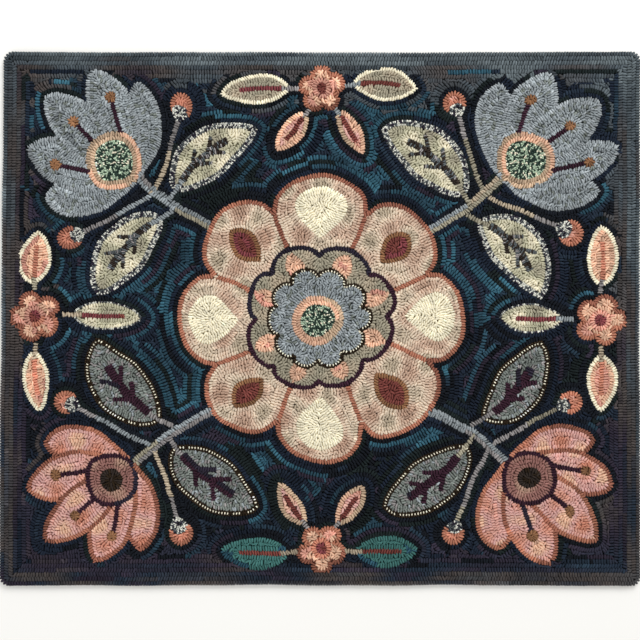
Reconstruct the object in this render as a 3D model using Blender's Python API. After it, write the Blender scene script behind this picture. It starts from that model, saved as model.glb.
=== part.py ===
"""A hooked rug: wool strips pulled in loops through linen, lying flat with its pile up.

Metres, +Z up. The origin is on the floor under the middle of the rug, +X along its longer side and +Y
towards the side that is on top in use. The rug is one piece of cloth: its hem is the linen turned under,
so it is part of the same solid. The loops reach the top of this solid; they are too many and too small
to be solids of their own.
"""
import math

import bmesh
import bpy

# Driving dimensions
WIDTH = 0.914  # 36 inches, left to right
DEPTH = 0.762  # 30 inches, top to bottom
THICKNESS = 0.0092  # back stitches, linen and loops together
CORNER_RADIUS = 0.013
LEFT_LEAN = 0.006  # how far the left edge has drawn in at its upper end
EDGE_WAVE = 0.0011  # how far the hand-hooked edges wander in and out
PILE_WAVE = 0.0004  # how far the tops of the loops rise and fall over the rug

# Steps of the mesh
SIDE_STEPS = 26  # along each straight side
CORNER_STEPS = 5  # round each corner
RING_SHARES = (0.93, 0.82, 0.68, 0.52, 0.36, 0.2, 0.08)  # pile rings, as shares of the way out

# The edge in section: how far each ring lies inside the outline, and its height over the floor.
# The linen rolls under at the bottom and the outer row of loops leans outwards at the top.
EDGE_SECTION = (
    {"inset": 0.0030, "height": 0.0},
    {"inset": 0.0009, "height": 0.0009},
    {"inset": 0.0, "height": 0.0030},
    {"inset": 0.0002, "height": 0.0058},
    {"inset": 0.0013, "height": 0.0079},
    {"inset": 0.0038, "height": THICKNESS},
)

# Each side of the rug wanders as two sine waves of its own.
SIDE_WAVES = {
    "bottom": {"cycles": (3.0, 7.0), "phase": (0.4, 2.1), "share": (0.55, 0.45)},
    "right": {"cycles": (2.0, 5.0), "phase": (1.9, 0.3), "share": (0.5, 0.3)},
    "top": {"cycles": (2.0, 6.0), "phase": (3.0, 1.2), "share": (0.35, 0.2)},
    "left": {"cycles": (2.0, 5.0), "phase": (0.9, 2.6), "share": (0.5, 0.3)},
}

WOOL_COLOUR = (0.030, 0.045, 0.070, 1.0)  # the dark ground, which covers most of the rug
WOOL_ROUGHNESS = 0.9


def side_wave(side, share):
    """How far a side lies inside its straight line, at a share of its length; nothing at its ends."""
    wave = SIDE_WAVES[side]
    sway = sum(
        part * math.sin(2.0 * math.pi * cycles * share + phase)
        for cycles, phase, part in zip(wave["cycles"], wave["phase"], wave["share"])
    )
    fade = math.sin(math.pi * share) ** 0.5
    return EDGE_WAVE * fade * (1.0 + sway)


def lean(y):
    """How far the left edge is drawn in at a height y up the rug."""
    share = (y + DEPTH / 2.0) / DEPTH
    return LEFT_LEAN * max(0.0, share - 0.35) / 0.65


def outline(inset):
    """The rug's outline, anticlockwise from its bottom left corner, drawn in by inset."""
    right, top = WIDTH / 2.0, DEPTH / 2.0
    radius = CORNER_RADIUS
    corners = (
        {"x": right - radius, "y": -top + radius, "start": -90.0, "side": "bottom"},
        {"x": right - radius, "y": top - radius, "start": 0.0, "side": "right"},
        {"x": -right + radius, "y": top - radius, "start": 90.0, "side": "top"},
        {"x": -right + radius, "y": -top + radius, "start": 180.0, "side": "left"},
    )
    points = []
    for index, corner in enumerate(corners):
        before = corners[index - 1]
        way = math.radians(corner["start"])
        out_x, out_y = math.cos(way), math.sin(way)
        for step in range(1, SIDE_STEPS):
            share = step / SIDE_STEPS
            reach = radius - inset - side_wave(corner["side"], share)
            x = before["x"] + (corner["x"] - before["x"]) * share + out_x * reach
            y = before["y"] + (corner["y"] - before["y"]) * share + out_y * reach
            points.append((x, y))
        for step in range(CORNER_STEPS + 1):
            turn = way + math.radians(90.0) * step / CORNER_STEPS
            reach = radius - inset
            points.append((corner["x"] + math.cos(turn) * reach, corner["y"] + math.sin(turn) * reach))
    leftness = [max(0.0, -x / right) for x, y in points]
    return [(x + lean(y) * share, y) for (x, y), share in zip(points, leftness)]


def pile_height(x, y):
    """The height of the loops' tops, which rise and fall gently from row to row."""
    swell = math.sin(19.0 * x + 0.7) * math.sin(16.0 * y - 0.4) + 0.5 * math.sin(37.0 * x - 29.0 * y)
    return THICKNESS - PILE_WAVE * (0.5 + 0.33 * swell)


def rug_mesh():
    """One closed body: a flat bottom, the rolled edge, and the pile's top in rings to the middle."""
    mesh = bmesh.new()
    rings = []
    for section in EDGE_SECTION:
        ring = outline(section["inset"])
        rings.append([mesh.verts.new((x, y, section["height"])) for x, y in ring])
    rim = outline(EDGE_SECTION[-1]["inset"])
    for share in RING_SHARES:
        ring = [(x * share, y * share) for x, y in rim]
        rings.append([mesh.verts.new((x, y, pile_height(x, y))) for x, y in ring])
    count = len(rim)
    for lower, upper in zip(rings, rings[1:]):
        for index in range(count):
            after = (index + 1) % count
            mesh.faces.new((lower[index], lower[after], upper[after], upper[index]))
    centre = mesh.verts.new((0.0, 0.0, pile_height(0.0, 0.0)))
    for index in range(count):
        mesh.faces.new((rings[-1][index], rings[-1][(index + 1) % count], centre))
    mesh.faces.new(list(reversed(rings[0])))
    bmesh.ops.recalc_face_normals(mesh, faces=mesh.faces)
    return mesh


def wool_material():
    """Dyed wool: matt all over, in the colour of the ground."""
    material = bpy.data.materials.new("dyed_wool_strips")
    material.use_nodes = True
    shader = material.node_tree.nodes["Principled BSDF"]
    shader.inputs["Base Color"].default_value = WOOL_COLOUR
    shader.inputs["Roughness"].default_value = WOOL_ROUGHNESS
    shader.inputs["Metallic"].default_value = 0.0
    return material


def make_rug():
    """The rug as one object, standing on the floor plane."""
    mesh = rug_mesh()
    data = bpy.data.meshes.new("hooked_rug")
    mesh.to_mesh(data)
    mesh.free()
    data.materials.append(wool_material())
    rug = bpy.data.objects.new("hooked_rug", data)
    bpy.context.scene.collection.objects.link(rug)
    data.shade_smooth()
    data.set_sharp_from_angle(angle=math.radians(50.0))
    return rug


def main():
    for existing in list(bpy.data.objects):
        bpy.data.objects.remove(existing, do_unlink=True)
    make_rug()


main()
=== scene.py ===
"""Finish of a hooked rug: its linen, every loop of dyed wool, the floor it lies on and the light.

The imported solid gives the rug's size, height and edge. The design is drawn here as closed outlines, and the
rug is then hooked as a maker hooks it: a row inside each outline, rows that echo each shape inwards, rows
along the rug's edge, and odd loops wherever a gap is left. Places on the rug are in millimetres from its
middle until they become a mesh, which is in metres.
"""
import math
from collections import namedtuple

import bpy
import numpy as np
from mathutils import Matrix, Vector
from mathutils.kdtree import KDTree


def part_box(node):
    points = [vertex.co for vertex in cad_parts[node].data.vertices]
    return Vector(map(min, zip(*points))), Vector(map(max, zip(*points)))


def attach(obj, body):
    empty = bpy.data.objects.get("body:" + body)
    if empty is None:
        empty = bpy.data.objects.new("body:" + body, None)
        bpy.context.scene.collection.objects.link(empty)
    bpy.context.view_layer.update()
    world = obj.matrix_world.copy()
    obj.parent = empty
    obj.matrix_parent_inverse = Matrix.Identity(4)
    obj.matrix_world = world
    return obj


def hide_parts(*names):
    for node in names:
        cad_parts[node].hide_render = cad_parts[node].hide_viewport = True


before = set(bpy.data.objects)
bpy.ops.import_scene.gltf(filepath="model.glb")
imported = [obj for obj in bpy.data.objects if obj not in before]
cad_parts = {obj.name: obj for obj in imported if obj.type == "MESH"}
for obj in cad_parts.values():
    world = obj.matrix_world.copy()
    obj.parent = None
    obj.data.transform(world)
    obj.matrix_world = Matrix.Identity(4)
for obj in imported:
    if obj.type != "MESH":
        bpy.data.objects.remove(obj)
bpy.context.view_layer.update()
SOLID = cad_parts["hooked_rug"]
LOW, HIGH = (Vector(corner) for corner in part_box("hooked_rug"))

bl_info = {
    "name": "Hooked Rug",
    "version": (1, 0, 0),
    "blender": (4, 5, 0),
    "location": "View3D > Sidebar > Rug",
    "description": "Hooks a wool rug loop by loop on the linen of its packed solid",
    "category": "Object",
}

MM = 0.001
WIDTH, DEPTH, THICKNESS = ((HIGH - LOW) / MM)[:]
OUTLINE_HEIGHT = 3.0  # the height at which the solid reaches furthest out


# ---- settings ----


def linear(hex_colour):
    """An sRGB hex value as linear red, green and blue."""
    parts = [int(hex_colour[at : at + 2], 16) / 255.0 for at in (1, 3, 5)]
    return tuple(p / 12.92 if p <= 0.04045 else ((p + 0.055) / 1.055) ** 2.4 for p in parts)


def dye(name, description, hex_colour):
    """A colour setting whose default is an sRGB hex value."""
    return bpy.props.FloatVectorProperty(
        name=name, description=description, default=linear(hex_colour), subtype="COLOR", min=0.0, max=1.0
    )


def length(name, description, default):
    """A size setting, in metres."""
    return bpy.props.FloatProperty(name=name, description=description, default=default, unit="LENGTH")


class RugDyes(bpy.types.PropertyGroup):
    """The dye pots of the wool, and the linen and floor under it."""

    ink: dye("Ink", "The nearly black row round each motif", "#151920")
    bottle: dye("Bottle", "Greenish black of the ground", "#1a2223")
    plum_black: dye("Plum Black", "Purplish rows of the ground", "#302b38")
    bark: dye("Bark", "Brown strips among the dark rows", "#352d28")
    navy: dye("Navy", "Blue rows of the ground", "#25303d")
    midnight: dye("Midnight", "The deepest blue of the ground", "#1b2330")
    teal: dye("Teal", "The bright rows of the ground", "#315463")
    petrol: dye("Petrol", "Teal that has taken less dye", "#28404d")
    sea: dye("Sea", "The lightest teal of the ground", "#3e6979")
    slate: dye("Slate", "Blue-grey rows along the edge", "#60696d")
    steel: dye("Steel", "Darker rows along the edge", "#444c52")
    charcoal: dye("Charcoal", "Neutral dark rows along the edge", "#4a4442")
    rose: dye("Rose", "Pinkish beige of the rosette", "#ccb29e")
    old_rose: dye("Old Rose", "The duller rose of the rosette", "#b89a86")
    shell: dye("Shell", "The palest rose of the rosette", "#decdb8")
    fawn: dye("Fawn", "Greyish beige among the rose", "#b6a893")
    sage: dye("Sage", "Grey-green ring of the rosette", "#9d9785")
    rust: dye("Rust", "Outlines of the rosette and the warm petals", "#b07862")
    brick: dye("Brick", "Darker strips of the rust outlines", "#966352")
    ochre: dye("Ochre", "Outlines of the seeds", "#8a6549")
    cream: dye("Cream", "Drops of the rosette and light beads", "#f3ecd4")
    oat: dye("Oat", "The duller cream", "#e8e0c8")
    reed: dye("Reed", "Yellowish grey of the upper leaves", "#b7b49b")
    tweed: dye("Tweed", "Grey-green tweed of the lower leaves", "#7b817c")
    mist: dye("Mist", "The lighter tweed", "#a0a6a9")
    cloud: dye("Cloud", "Light fleck of the boucle yarns", "#d0d0c6")
    smoke: dye("Smoke", "Dark fleck of the boucle yarns", "#5a5f61")
    lavender: dye("Lavender", "Blue-grey tweed of the upper petals", "#949b9e")
    pine: dye("Pine", "Dark green of the flowers' eyes", "#33443c")
    mint: dye("Mint", "Light green of the flowers' eyes", "#adc0a8")
    bead_brown: dye("Bead Brown", "Dark strip of the beaded outlines", "#2f2418")
    salmon: dye("Salmon", "The warm petals", "#d09c8b")
    blush: dye("Blush", "Pink places in the warm petals", "#d1a6a0")
    peach: dye("Peach", "The lighter petals and hearts", "#dcb59b")
    sand: dye("Sand", "Rings round the flowers' eyes", "#c0a88f")
    coral: dye("Coral", "Blossoms and berries", "#c2856f")
    mauve: dye("Mauve", "Hearts of the warm lilies", "#946c65")
    plum: dye("Plum", "Outlines and veins", "#3c2431")
    oxblood: dye("Oxblood", "Seeds of the rosette", "#7a443e")
    raspberry: dye("Raspberry", "Eyes of the blossoms", "#84474b")
    stone: dye("Stone", "Stems and light veins", "#918d8c")
    fern: dye("Fern", "The sprigs by the lower blossom", "#46736f")
    linen: dye("Linen", "Unbleached linen of the foundation and hem", "#b7a688")
    floor: dye("Floor", "The plain floor under the rug", "#efeeea")


class RugSizes(bpy.types.PropertyGroup):
    """The sizes of the hooking."""

    row_spacing: length("Row Spacing", "From one row of loops to the next, as wide as a cut strip", 0.0063)
    loop_pitch: length("Loop Pitch", "From one loop to the next along a row", 0.0039)
    linen_height: length("Linen Height", "From the floor to the upper face of the linen", 0.0030)
    unevenness: length("Unevenness", "How far a loop stands above or below its neighbours", 0.0004)
    rosette_radius: length("Rosette Radius", "From the rug's middle to the tip of a rosette lobe", 0.206)


# A wool: the piece it is hooked into, how its dyes are mixed, and those dyes with their shares. A "strip"
# mix changes dye with each cut strip, a "loop" mix at each loop, and a "bead" mix takes its two dyes by
# turns. A "patch" mix blends from one dye to the next over a small area, a "band" mix over a wider one and
# a "sweep" mix over most of the rug. Then its cut, the width of its strips as a share of the row spacing,
# and its pitch, from loop to loop, as a share of the ground's.
Wool = namedtuple("Wool", "piece mix dyes cut pitch", defaults=(1.0, 0.95))
BORDER_DYES = {"navy": 3, "plum_black": 1, "charcoal": 3, "steel": 2, "slate": 1}
EDGE_DYES = {"plum_black": 1, "navy": 1, "charcoal": 4, "steel": 2, "slate": 3}
WOOLS = {
    "ink": Wool("ink_ground_loops", "strip", {"ink": 4, "midnight": 2, "bottle": 2}, 1.0, 1.0),
    "dusk": Wool("dusk_ground_loops", "strip", {"plum_black": 4, "midnight": 3, "bottle": 2}, 1.0, 1.0),
    "heather": Wool("dusk_ground_loops", "loop", {"ink": 5, "plum_black": 3, "smoke": 1}, 1.0, 1.0),
    "navy": Wool("navy_ground_loops", "band", {"midnight": 3, "navy": 4, "petrol": 1}, 1.0, 1.0),
    "teal": Wool("teal_ground_loops", "band", {"petrol": 4, "teal": 4, "sea": 1}, 1.0, 1.0),
    "border": Wool("edge_loops", "sweep", BORDER_DYES, 1.0, 1.0),
    "edge": Wool("edge_loops", "sweep", EDGE_DYES, 1.0, 1.0),
    "rim": Wool("rim_loops", "sweep", EDGE_DYES, 1.0, 1.0),
    "rose": Wool("rosette_loops", "patch", {"old_rose": 2, "rose": 4, "shell": 3, "fawn": 3}, 0.8, 1.0),
    "sage": Wool("rosette_loops", "patch", {"sage": 5, "fawn": 2}, 0.8, 1.0),
    "rust": Wool("rust_loops", "strip", {"rust": 5, "brick": 3}),
    "ochre": Wool("rust_loops", "strip", {"ochre": 1}),
    "cream": Wool("cream_loops", "patch", {"oat": 2, "cream": 5}, 0.85, 0.9),
    "reed": Wool("leaf_loops", "patch", {"sage": 2, "reed": 5, "oat": 3}, 0.85, 0.95),
    "fern": Wool("leaf_loops", "strip", {"fern": 3, "teal": 1}),
    "tweed": Wool("tweed_loops", "loop", {"tweed": 8, "stone": 2, "lavender": 1}, 0.8, 0.92),
    "lavender": Wool("tweed_loops", "loop", {"lavender": 9, "tweed": 2, "mist": 2}, 0.8, 0.9),
    "mist": Wool("tweed_loops", "loop", {"mist": 4, "lavender": 3}, 0.9, 0.86),
    "stem": Wool("tweed_loops", "strip", {"stone": 4, "lavender": 2, "sage": 1, "fawn": 1}),
    "gold_bead": Wool("bead_loops", "bead", {"cream": 1, "bead_brown": 1}, 0.44, 0.54),
    "dark_bead": Wool("bead_loops", "strip", {"bead_brown": 1}, 0.4, 0.9),
    "pepper": Wool("bead_loops", "loop", {"cloud": 4, "smoke": 3, "plum_black": 2}, 0.43, 0.56),
    "vein": Wool("bead_loops", "loop", {"smoke": 3, "bark": 4, "stone": 1}, 0.8, 0.66),
    "eye": Wool("bead_loops", "loop", {"pine": 4, "mint": 3, "cream": 1}, 0.43, 0.56),
    "salmon": Wool("petal_loops", "patch", {"coral": 1, "salmon": 4, "blush": 3, "peach": 4}, 0.85, 1.0),
    "peach": Wool("petal_loops", "strip", {"peach": 3, "salmon": 1}),
    "ring": Wool("petal_loops", "strip", {"sand": 2, "peach": 1}),
    "coral": Wool("petal_loops", "strip", {"coral": 3, "salmon": 1}),
    "mauve": Wool("accent_loops", "patch", {"mauve": 5, "old_rose": 1}, 0.85, 1.0),
    "plum": Wool("accent_loops", "strip", {"plum": 3, "plum_black": 1}),
    "bark": Wool("accent_loops", "loop", {"bark": 3, "bead_brown": 2}),
    "oxblood": Wool("accent_loops", "strip", {"oxblood": 3, "raspberry": 1}),
    "raspberry": Wool("accent_loops", "strip", {"raspberry": 3, "oxblood": 1}),
}


def grain(wool):
    """How a wool's loops compare with the ground's, along a row and across it."""
    return np.array((WOOLS[wool].pitch, WOOLS[wool].cut)) if wool in WOOLS else np.ones(2)


# ---- drawing the design ----

# A motif is a closed outline, with the wools of the rows inside it from the outer one in, and of the rest.
# A stroke is a drawn line that is hooked one or more rows wide.
Shape = namedtuple("Shape", "points rims fill")
Stroke = namedtuple("Stroke", "points rows wool")

STRAYING = ((3.4, 59.0), (1.7, 34.0), (1.0, 10.5))  # millimetres aside, and those over which that changes


def strayed(x, y):
    """A drawn point where a hand puts it, a few millimetres from where it was meant."""
    across = up = 0.0
    for reach, slow in STRAYING:
        across += reach * math.sin(x / slow + 0.61 * y / slow + 0.3 * slow)
        up += reach * math.sin(y / slow - 0.74 * x / slow + 0.7 * slow)
    return (x + across, y + up)


def spine(start, heading, length, bend=0.0, steps=22):
    """A curve that leaves start at a heading and turns evenly by bend over its length."""
    x, y = start
    points = [(x, y)]
    for index in range(steps):
        way = math.radians(heading + bend * ((index + 0.5) / steps))
        x += math.cos(way) * length / steps
        y += math.sin(way) * length / steps
        points.append((x, y))
    return points


def polar(radius, degrees, centre=(0.0, 0.0)):
    way = math.radians(degrees)
    return (centre[0] + radius * math.cos(way), centre[1] + radius * math.sin(way))


def normals(path):
    """The unit vector to the left of a path at each of its points."""
    along = np.gradient(np.array(path, float), axis=0)
    along /= np.maximum(np.linalg.norm(along, axis=1), 1e-9)[:, None]
    return np.stack([-along[:, 1], along[:, 0]], 1)


def lobe(start, heading, length, width, widest=0.5, fullness=0.75, bend=0.0):
    """A leaf or petal: widest at that share of its length, and blunter the lower its fullness."""
    middle = np.array(spine(start, heading, length, bend))
    share = np.linspace(0.0, 1.0, len(middle))
    power = math.log(0.5) / math.log(widest)
    half = width / 2.0 * np.sin(np.pi * share**power).clip(0.0, 1.0) ** fullness
    side = normals(middle) * half[:, None]
    return [tuple(p) for p in np.vstack([middle + side, (middle - side)[-2:0:-1]])]


def scalloped(radius, dip, count, turn=0.0, centre=(0.0, 0.0)):
    """A disc whose rim has count round lobes, with dips between them."""
    points = []
    for degrees in np.linspace(0.0, 360.0, count * 20, endpoint=False):
        swell = abs(math.cos(math.radians(count / 2.0 * (degrees - turn)))) ** 0.5
        points.append(polar(radius - dip * (1.0 - swell), degrees, centre))
    return points


def disc(radius, centre=(0.0, 0.0)):
    return scalloped(radius, 0.0, 2, centre=centre)


LOBES = 8  # round the rosette


def rosette(radius):
    """The large rosette: lobes, a scalloped ring, a flower and its eye, all in shares of its radius."""
    drawn = [Shape(scalloped(radius, 0.2 * radius, LOBES), ("rust",), "rose")]
    betweens = [360.0 * (index + 0.5) / LOBES for index in range(LOBES)]
    for index, between in enumerate(betweens):
        seam = [polar(r, between) for r in np.linspace(0.77 * radius, 0.5 * radius, 8)]
        drawn.append(Stroke(seam, 1, "rust"))
        along = 360.0 * index / LOBES
        start = polar(0.56 * radius, along)
        if index % 2:
            seed = lobe(start, along, 0.3 * radius, 0.2 * radius, widest=0.55)
            drawn.append(Shape(seed, ("ochre",), "oxblood"))
        else:
            drop = lobe(start, along, 0.36 * radius, 0.34 * radius, widest=0.62, fullness=0.62)
            drawn.append(Shape(drop, (), "cream"))
    drawn.append(Shape(scalloped(0.53 * radius, 0.07 * radius, LOBES, betweens[0]), ("plum",), "sage"))
    for between in betweens:
        bud = lobe(polar(0.3 * radius, between), between, 0.19 * radius, 0.13 * radius)
        drawn.append(Shape(bud, (), "peach"))
    drawn.append(Shape(scalloped(0.37 * radius, 0.06 * radius, 10), ("dark_bead", "gold_bead"), "lavender"))
    drawn.append(Shape(disc(0.18 * radius), ("ring", "ring"), "eye"))
    return drawn


# The petals of a flower seen from the side, from the outer pair to the middle one: how far each turns from
# the flower's heading, and its length and width as shares of the flower's size.
Petal = namedtuple("Petal", "turn long wide")
PETALS = (
    Petal(62.0, 0.78, 0.34),
    Petal(-62.0, 0.78, 0.34),
    Petal(32.0, 0.94, 0.38),
    Petal(-32.0, 0.94, 0.38),
    Petal(0.0, 1.0, 0.40),
)
STAMEN_TURNS = (-31.0, 0.0, 31.0)


def lily(base, heading, size, petal, rim, heart, heart_rims):
    """An open flower seen from the side, with a round heart and three stamens, in shares of its size."""
    drawn = []
    for turn, long, wide in PETALS:
        points = lobe(
            base, heading + turn, long * size, wide * size, widest=0.6, fullness=0.62, bend=-0.35 * turn
        )
        drawn.append(Shape(points, (rim,), petal))
    for turn in STAMEN_TURNS:
        stamen = spine(polar(0.4 * size, heading + turn, base), heading + turn, 0.28 * size, steps=6)
        drawn.append(Stroke(stamen, 1, "plum"))
        drawn.append(Shape(disc(0.045 * size, stamen[-1]), (), "ochre"))
    middle = lobe(base, heading, 0.48 * size, 0.48 * size, widest=0.52, fullness=0.52)
    drawn.append(Shape(middle, heart_rims, heart))
    return drawn


# A leaf's middle is a curve of points: those its vein runs between, its first side veins', the points from
# one pair of side veins to the next, and how far a side vein turns from the middle one.
VEIN_START, VEIN_END, FIRST_PAIR, PAIRS_APART = 3, -6, 7, 4
VEIN_TURN = 40.0


def veined_leaf(start, heading, length, width, bend, rims, fill, vein, pairs=2):
    """A leaf on its short stalk, with a middle vein and pairs of side veins."""
    middle = spine(start, heading, length, bend)
    blade = lobe(start, heading, length, width, widest=0.48, fullness=0.66, bend=bend)
    drawn = [Shape(blade, rims, fill)]
    stalk = [polar(-0.12 * length, heading, start)] + middle[: VEIN_START + 1]
    drawn.append(Stroke(stalk, 1, "stem"))
    drawn.append(Stroke(middle[VEIN_START:VEIN_END], 2 if pairs else 1, vein))
    for at in range(FIRST_PAIR, FIRST_PAIR + PAIRS_APART * pairs, PAIRS_APART):
        way = heading + bend * at / (len(middle) - 1.0)
        for side in (VEIN_TURN, -VEIN_TURN):
            drawn.append(Stroke(spine(middle[at], way + side, 0.36 * width, steps=4), 1, vein))
    return drawn


def blossom(centre, size, turn):
    """A small five-lobed flower with a dark eye."""
    return [
        Shape(scalloped(size, 0.32 * size, 5, turn, centre), ("rust",), "peach"),
        Shape(disc(0.42 * size, centre), ("coral",), "raspberry"),
    ]


def berry(centre, size, heading):
    """A round berry that points along a heading, with a speckled cap where its stalk joins it."""
    joint = polar(-1.3 * size, heading, centre)
    cap = lobe(joint, heading, 1.3 * size, 1.4 * size, widest=0.6, fullness=0.5)
    return [Shape(disc(size, centre), ("rust",), "coral"), Shape(cap, (), "pepper")]


# How the stems and leaves of the rug's upper right quarter grow: from where, in millimetres from the rug's
# middle, along which heading in degrees, how far, how wide, and how much they turn on the way.
Stem = namedtuple("Stem", "start heading length bend")
Leaf = namedtuple("Leaf", "start heading length width bend")
LILY_STEM = Stem((132.0, 120.0), 18.0, 168.0, 34.0)
BERRY_STALKS = (Stem((236.0, 182.0), 112.0, 112.0, -6.0), Stem((240.0, 178.0), -30.0, 112.0, 6.0))
UPPER_LEAF = Leaf((208.0, 178.0), 120.0, 154.0, 78.0, 46.0)
LOWER_LEAF = Leaf((226.0, 142.0), -28.0, 150.0, 76.0, -46.0)
TOP_SPRIG = Leaf((46.0, 330.0), 6.0, 96.0, 46.0, -16.0)
TOP_DROP = Leaf((22.0, 292.0), -50.0, 70.0, 34.0, -12.0)
SIDE_SPRIG = Leaf((402.0, 48.0), 84.0, 84.0, 44.0, 14.0)
SIDE_LEAF = Leaf((352.0, 2.0), 178.0, 96.0, 40.0, 6.0)
LILY_BASE, LILY_HEADING, LILY_SIZE = (262.0, 200.0), 41.0, 176.0
BERRY_AWAY, BERRY_RADIUS = 21.0, 17.0  # from the end of its stalk to its middle, and from there to its rim
TOP_BLOSSOM, SIDE_BLOSSOM = (326.0, 37.0), (402.0, 38.0)  # from the rug's middle, and to the flower's rim


def corner_spray(upper):
    """A lily that points to the upper right corner, on its stem, with two long leaves and two berries."""
    if upper:
        petal, rim, heart, heart_rims = "lavender", "mist", "eye", ("ring", "ring")
        leaf, edge, vein = "reed", ("pepper", "pepper", "pepper"), "vein"
    else:
        petal, rim, heart, heart_rims = "salmon", "rust", "mauve", ("plum",)
        leaf, edge, vein = "tweed", ("dark_bead", "gold_bead", "dark_bead"), "plum"
    drawn = []
    for stem in BERRY_STALKS:
        stalk, heading = spine(*stem), stem.heading + stem.bend
        drawn.append(Stroke(stalk, 1, "stem"))
        drawn += berry(polar(BERRY_AWAY, heading, stalk[-1]), BERRY_RADIUS, heading)
    drawn.append(Stroke(spine(*LILY_STEM), 2, "stem"))
    for grown in (UPPER_LEAF, LOWER_LEAF):
        drawn += veined_leaf(*grown, edge, leaf, vein)
    drawn += lily(LILY_BASE, LILY_HEADING, LILY_SIZE, petal, rim, heart, heart_rims)
    if not upper:
        dark_eye = disc(0.095 * LILY_SIZE, polar(0.24 * LILY_SIZE, LILY_HEADING, LILY_BASE))
        drawn.append(Shape(dark_eye, (), "bark"))
    return drawn


def mirrored(drawn, across, up):
    """The same motifs on the other side of the rug."""
    flip = np.array([across, up], float)
    return [shape._replace(points=[tuple(p) for p in np.array(shape.points) * flip]) for shape in drawn]


def design(radius):
    """Every motif of the rug, each drawn over the ones before it."""
    drawn = []
    for up in (1.0, -1.0):
        rims, fill = (("cream",), "sage") if up > 0.0 else ((), "fern")
        sprig = veined_leaf(*TOP_SPRIG, rims, fill, "oxblood", pairs=0)
        drop = veined_leaf(*TOP_DROP, ("ring",), "salmon", "oxblood", pairs=0)
        for across in (1.0, -1.0):
            drawn += mirrored(corner_spray(up > 0.0) + sprig + drop, across, up)
        drawn += blossom((0.0, TOP_BLOSSOM[0] * up), TOP_BLOSSOM[1], 90.0 * up)
    drawn += rosette(radius)
    sprig = veined_leaf(*SIDE_SPRIG, ("cream",), "peach", "coral", pairs=0)
    inner = veined_leaf(*SIDE_LEAF, ("pepper",), "reed", "raspberry", pairs=0)
    for across in (1.0, -1.0):
        for up in (1.0, -1.0):
            drawn += mirrored(sprig, across, up)
        drawn += mirrored(inner, across, 1.0)
        drawn += blossom((SIDE_BLOSSOM[0] * across, 0.0), SIDE_BLOSSOM[1], 90.0 - 90.0 * across)
    return [shape._replace(points=[strayed(x, y) for x, y in shape.points]) for shape in drawn]


# ---- the design on a fine grid ----

CELL = 1.0  # millimetres from one point of the design's grid to the next
MARGIN = 8.0  # how far that grid reaches past the rug
LEFT, BOTTOM = -WIDTH / 2.0 - MARGIN, -DEPTH / 2.0 - MARGIN
COLUMNS, ROWS = (int(round((size + 2.0 * MARGIN) / CELL)) + 1 for size in (WIDTH, DEPTH))
GRID_X = LEFT + CELL * np.arange(COLUMNS)
GRID_Y = BOTTOM + CELL * np.arange(ROWS)
EDGE_ROWS = ("rim", "edge", "edge", "border")  # the rows along the rug's edge, from the outer one in
DEEPEST = 100.0  # millimetres, more than the middle of any area lies from its rim
WANDER, WANDER_SIZE = 1.1, 88.0  # millimetres that echoing rows stray, and over which they do
WANDER_START = 14.0  # millimetres from an area's rim to where most of that is reached


def rug_outline():
    """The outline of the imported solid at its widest, anticlockwise."""
    ring = [v.co / MM for v in SOLID.data.vertices if abs(v.co.z / MM - OUTLINE_HEIGHT) < 0.01]
    around = {(round(p.x, 3), round(p.y, 3)) for p in ring}
    return np.array(sorted(around, key=lambda p: math.atan2(p[1], p[0])))


def inset(points, by):
    """A closed anticlockwise outline drawn in by a distance."""
    around = np.array(points, float)
    along = np.roll(around, -1, 0) - np.roll(around, 1, 0)
    along /= np.maximum(np.linalg.norm(along, axis=1), 1e-9)[:, None]
    return around + by * np.stack([-along[:, 1], along[:, 0]], 1)


def covered(points):
    """Which points of the grid lie inside a closed outline."""
    inside = np.zeros((ROWS, COLUMNS), bool)
    around = np.array(points, float)
    for (x0, y0), (x1, y1) in zip(around, np.roll(around, -1, 0)):
        rows = slice(*np.searchsorted(GRID_Y, sorted((y0, y1))))
        if rows.stop > rows.start:
            crossing = x0 + (GRID_Y[rows] - y0) * (x1 - x0) / (y1 - y0)
            inside[rows] ^= GRID_X[None, :] < crossing[:, None]
    return inside


def distance_to(sites, reach):
    """Each point's distance to the nearest site in cells: exact up to reach, and at least reach past it."""
    place = np.arange(sites.shape[1], dtype=np.float32)
    before = np.maximum.accumulate(np.where(sites, place, -1e6), axis=1)
    after = np.minimum.accumulate(np.where(sites, place, 1e6)[:, ::-1], axis=1)[:, ::-1]
    squared = (np.minimum(place - before, after - place).clip(0.0, reach + 1.0) ** 2).astype(np.float32)
    best = squared.copy()
    for shift in range(1, reach + 1):
        np.minimum(best[shift:], squared[:-shift] + shift * shift, out=best[shift:])
        np.minimum(best[:-shift], squared[shift:] + shift * shift, out=best[:-shift])
    return np.sqrt(best)


def softened(field):
    """A field with each point averaged with its neighbours."""
    for axis in (0, 1):
        field = 0.5 * field + 0.25 * (np.roll(field, 1, axis) + np.roll(field, -1, axis))
    return field


def drift(x, y, size, phase):
    """A slow change over the rug, from about -1 to 1, across patches of this size in millimetres."""
    k = 2.0 * math.pi / size
    return 0.7 * (
        np.sin(k * x + phase) * np.sin(k * 0.83 * y - 1.3 * phase)
        + np.sin(k * 0.61 * (x + y) + 2.1 * phase) * np.sin(k * 0.74 * (x - y) + phase)
    )


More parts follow.
